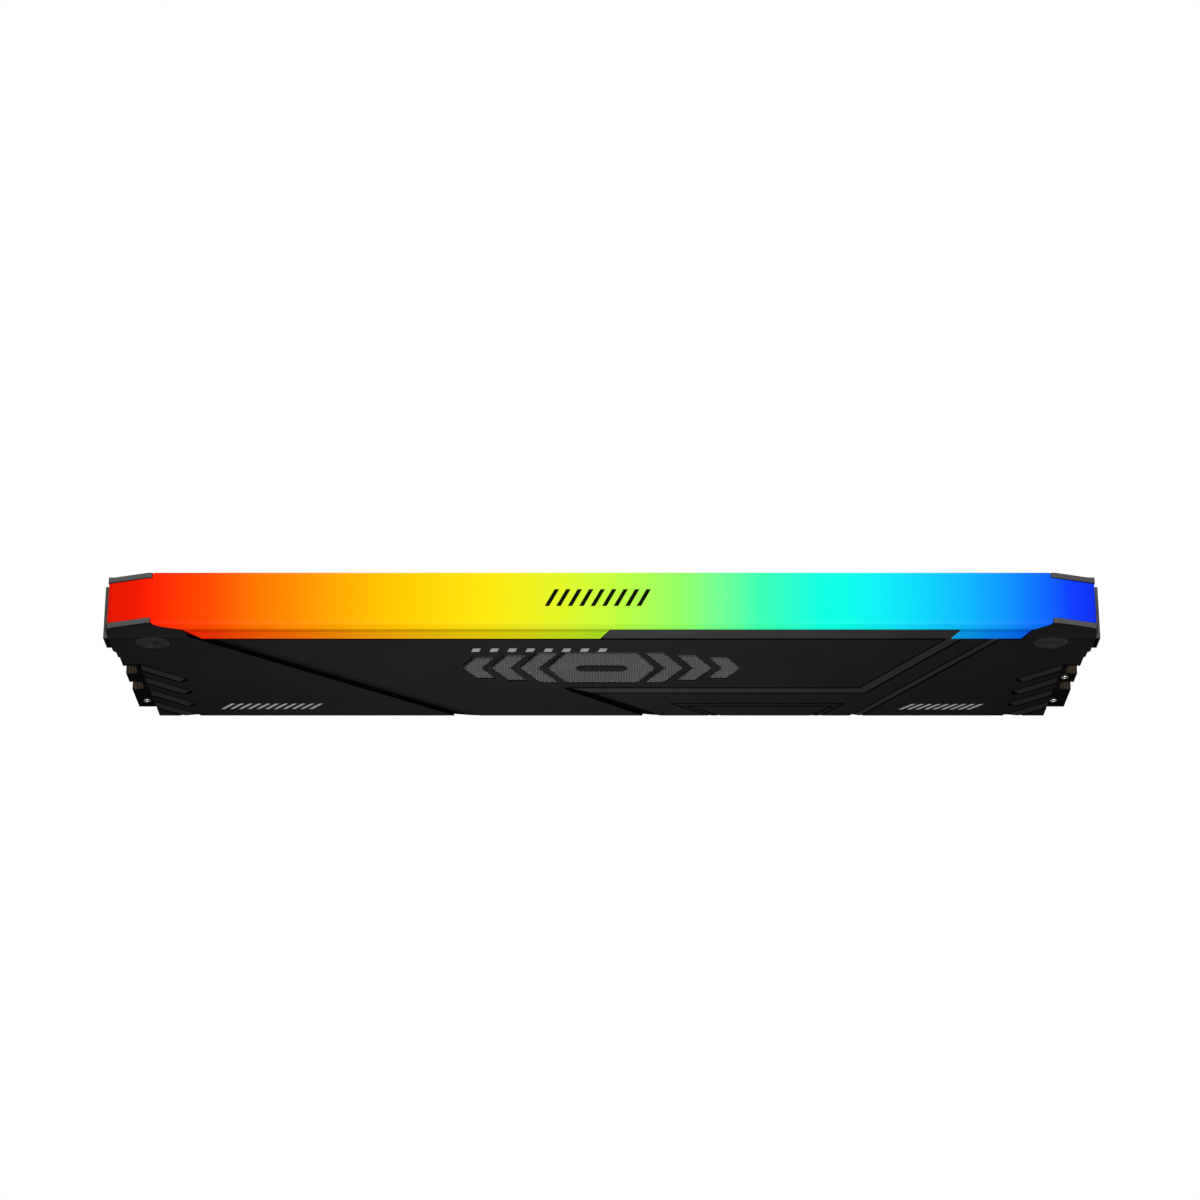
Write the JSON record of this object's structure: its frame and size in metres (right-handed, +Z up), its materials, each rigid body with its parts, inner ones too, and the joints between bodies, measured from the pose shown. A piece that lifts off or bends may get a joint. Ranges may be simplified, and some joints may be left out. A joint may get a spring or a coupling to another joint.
{
  "type": "memory module",
  "caption": "Desktop memory module: circuit board with gold edge contacts between two black heat-spreader halves, with a rainbow light bar along the top.",
  "frame": {"origin": "middle of the circuit board's contact edge, at its lowest height, in the board's middle plane", "axes": "+X along the module to the right as seen from the front, +Y towards the back face, +Z up, out of the socket"},
  "size_m": [0.1334, 0.0084, 0.042],
  "materials": {
    "spreader_metal": "satin black coated aluminium",
    "emblem_metal": "fine-textured dark grey",
    "screw_metal": "black, fine-turned",
    "sleeve_metal": "black, fine-turned",
    "glowing_diffuser": "translucent, lit from inside",
    "board_laminate": "black solder mask over glass-fibre laminate",
    "contact_gold": "hard gold plating",
    "chip_mould": "moulded black epoxy",
    "capacitor_ceramic": "tan ceramic with tinned ends",
    "resistor_ceramic": "black glaze with tinned ends",
    "diode_case": "white moulded case",
    "thermal_silicone": "soft grey-blue silicone"
  },
  "bodies": {
    "root": {"circuit_board": "board_laminate", "edge_contacts_front": "contact_gold", "edge_contacts_back": "contact_gold", "memory_chip_front_1": "chip_mould", "memory_chip_back_1": "chip_mould", "memory_chip_front_2": "chip_mould", "memory_chip_back_2": "chip_mould", "memory_chip_front_3": "chip_mould", "memory_chip_back_3": "chip_mould", "memory_chip_front_4": "chip_mould", "memory_chip_back_4": "chip_mould", "memory_chip_front_5": "chip_mould", "memory_chip_back_5": "chip_mould", "memory_chip_front_6": "chip_mould", "memory_chip_back_6": "chip_mould", "memory_chip_front_7": "chip_mould", "memory_chip_back_7": "chip_mould", "memory_chip_front_8": "chip_mould", "memory_chip_back_8": "chip_mould", "settings_chip": "chip_mould", "light_controller_chip": "chip_mould", "bulk_capacitors": "capacitor_ceramic", "decoupling_capacitors_front": "capacitor_ceramic", "decoupling_capacitors_back": "capacitor_ceramic", "resistor_packs_front": "resistor_ceramic", "resistor_packs_back": "resistor_ceramic", "light_diodes_front": "diode_case", "light_diodes_back": "diode_case", "thermal_pad_front": "thermal_silicone", "thermal_pad_back": "thermal_silicone", "emblem_inlay_front": "emblem_metal", "emblem_inlay_back": "emblem_metal", "heat_spreader_front": "spreader_metal", "heat_spreader_back": "spreader_metal", "light_bar_diffuser": "glowing_diffuser", "clamp_screw_left": "screw_metal", "clamp_sleeve_left": "sleeve_metal", "clamp_screw_right": "screw_metal", "clamp_sleeve_right": "sleeve_metal"}
  },
  "joints": []
}
